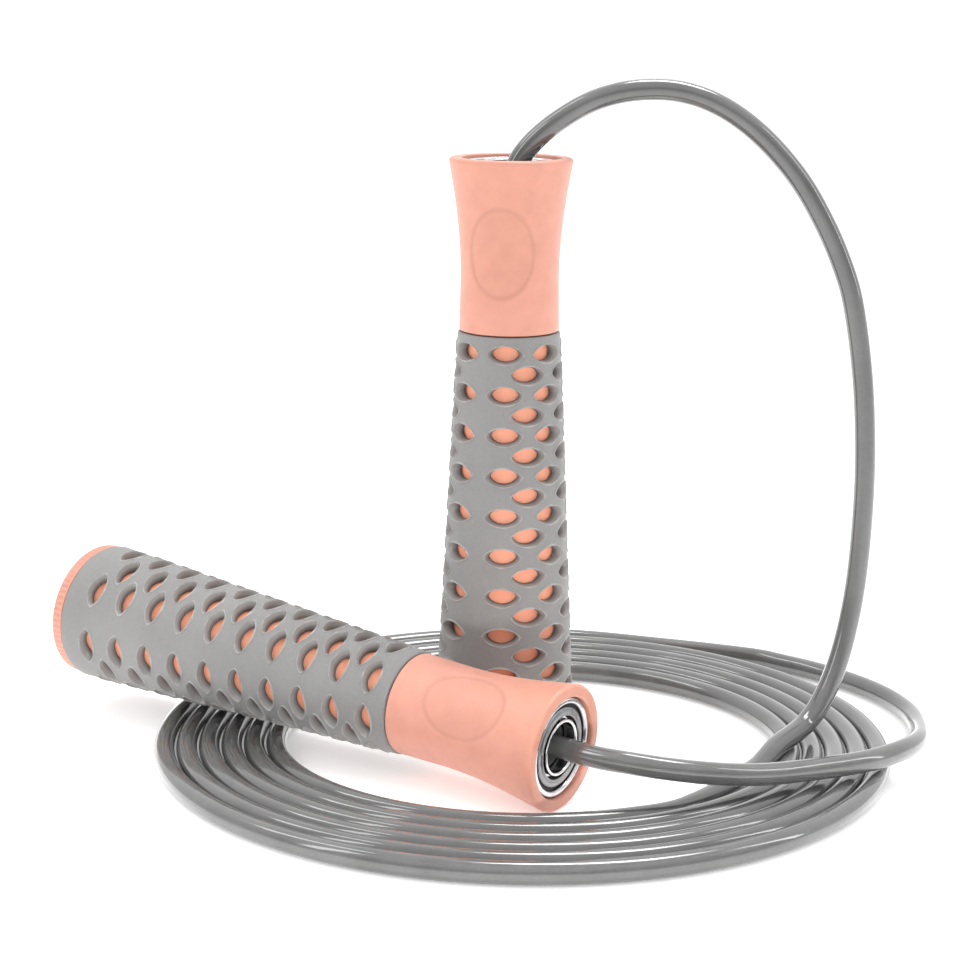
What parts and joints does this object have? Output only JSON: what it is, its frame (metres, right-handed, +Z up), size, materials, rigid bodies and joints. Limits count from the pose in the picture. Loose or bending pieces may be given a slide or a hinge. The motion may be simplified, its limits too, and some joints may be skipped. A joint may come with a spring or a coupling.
{
  "type": "jump rope",
  "caption": "Coiled vinyl jump rope with two perforated-grip handles, each turning on a shielded ball bearing at its mouth and closed by a knurled screw cap.",
  "frame": {"origin": "centre of the standing handle's cap face, on the ground inside the coil", "axes": "+Z up along the standing handle towards its bearing; +X towards the side on which the free rope comes down; the lying handle is on the -Y side"},
  "size_m": [0.2257, 0.185, 0.1651],
  "materials": {
    "shell_plastic": "satin peach moulded plastic",
    "grip_rubber": "matte mid-grey soft grip",
    "rope_vinyl": "glossy mid-grey vinyl",
    "bearing_steel": "ground and polished bearing steel",
    "ball_steel": "polished steel balls",
    "cage_steel": "pressed steel",
    "shield_steel": "pressed steel, fine circular grain",
    "bush_plastic": "black moulded plastic",
    "washer_steel": "zinc-plated washer",
    "stop_alloy": "turned alloy collar",
    "screw_steel": "dark set screw",
    "seal_rubber": "black seal ring"
  },
  "bodies": {
    "rope": {"rope_arch": "rope_vinyl", "rope_coil": "rope_vinyl", "rope_lead": "rope_vinyl", "bearing_inner_a": "bearing_steel", "swivel_bush_a": "bush_plastic", "rope_washer_a": "washer_steel", "rope_stop_a": "stop_alloy", "stop_screw_a": "screw_steel", "bearing_inner_b": "bearing_steel", "swivel_bush_b": "bush_plastic", "rope_washer_b": "washer_steel", "rope_stop_b": "stop_alloy", "stop_screw_b": "screw_steel"},
    "handle_a": {"handle_core_a": "shell_plastic", "grip_sleeve_a": "grip_rubber", "bearing_outer_a": "bearing_steel", "shield_front_a": "shield_steel", "shield_rear_a": "shield_steel"},
    "cage_a": {"bearing_cage_a": "cage_steel", "ball_a_01": "ball_steel", "ball_a_02": "ball_steel", "ball_a_03": "ball_steel", "ball_a_04": "ball_steel", "ball_a_05": "ball_steel", "ball_a_06": "ball_steel", "ball_a_07": "ball_steel", "ball_a_08": "ball_steel", "ball_a_09": "ball_steel", "ball_a_10": "ball_steel", "ball_a_11": "ball_steel"},
    "seal_a": {"cap_seal_a": "seal_rubber"},
    "cap_a": {"end_cap_a": "shell_plastic"},
    "handle_b": {"handle_core_b": "shell_plastic", "grip_sleeve_b": "grip_rubber", "bearing_outer_b": "bearing_steel", "shield_front_b": "shield_steel", "shield_rear_b": "shield_steel"},
    "cage_b": {"bearing_cage_b": "cage_steel", "ball_b_01": "ball_steel", "ball_b_02": "ball_steel", "ball_b_03": "ball_steel", "ball_b_04": "ball_steel", "ball_b_05": "ball_steel", "ball_b_06": "ball_steel", "ball_b_07": "ball_steel", "ball_b_08": "ball_steel", "ball_b_09": "ball_steel", "ball_b_10": "ball_steel", "ball_b_11": "ball_steel"},
    "seal_b": {"cap_seal_b": "seal_rubber"},
    "cap_b": {"end_cap_b": "shell_plastic"}
  },
  "joints": [
    {"name": "spin_a", "type": "hinge", "parent": "rope", "child": "handle_a", "pos_m": [0, 0, 0.146], "axis": [0, 0, 1], "continuous": true},
    {"name": "cage_spin_a", "type": "hinge", "parent": "rope", "child": "cage_a", "pos_m": [0, 0, 0.146], "axis": [0, 0, 1], "continuous": true},
    {"name": "cap_slide_a", "type": "slide", "parent": "handle_a", "child": "seal_a", "axis": [0, 0, -1], "range_m": [0, 0.008]},
    {"name": "cap_turn_a", "type": "hinge", "parent": "seal_a", "child": "cap_a", "pos_m": [0, 0, 0], "axis": [0, 0, -1], "range_deg": [0, 1440]},
    {"name": "spin_b", "type": "hinge", "parent": "rope", "child": "handle_b", "pos_m": [0.0135, -0.0606, 0.01522], "axis": [0.8321, -0.5508, -0.0654], "continuous": true},
    {"name": "cage_spin_b", "type": "hinge", "parent": "rope", "child": "cage_b", "pos_m": [0.0135, -0.0606, 0.01522], "axis": [0.8321, -0.5508, -0.0654], "continuous": true},
    {"name": "cap_slide_b", "type": "slide", "parent": "handle_b", "child": "seal_b", "axis": [-0.8321, 0.5508, 0.0654], "range_m": [0, 0.008]},
    {"name": "cap_turn_b", "type": "hinge", "parent": "seal_b", "child": "cap_b", "pos_m": [-0.10799, 0.01981, 0.02477], "axis": [-0.8321, 0.5508, 0.0654], "range_deg": [0, 1440]}
  ],
  "couplings": [
    {"joint": "cage_spin_a", "follows": "spin_a", "ratio": 0.58333},
    {"joint": "cap_slide_a", "follows": "cap_turn_a", "m_per_rad": 0.00031831},
    {"joint": "cage_spin_b", "follows": "spin_b", "ratio": 0.58333},
    {"joint": "cap_slide_b", "follows": "cap_turn_b", "m_per_rad": 0.00031831}
  ]
}
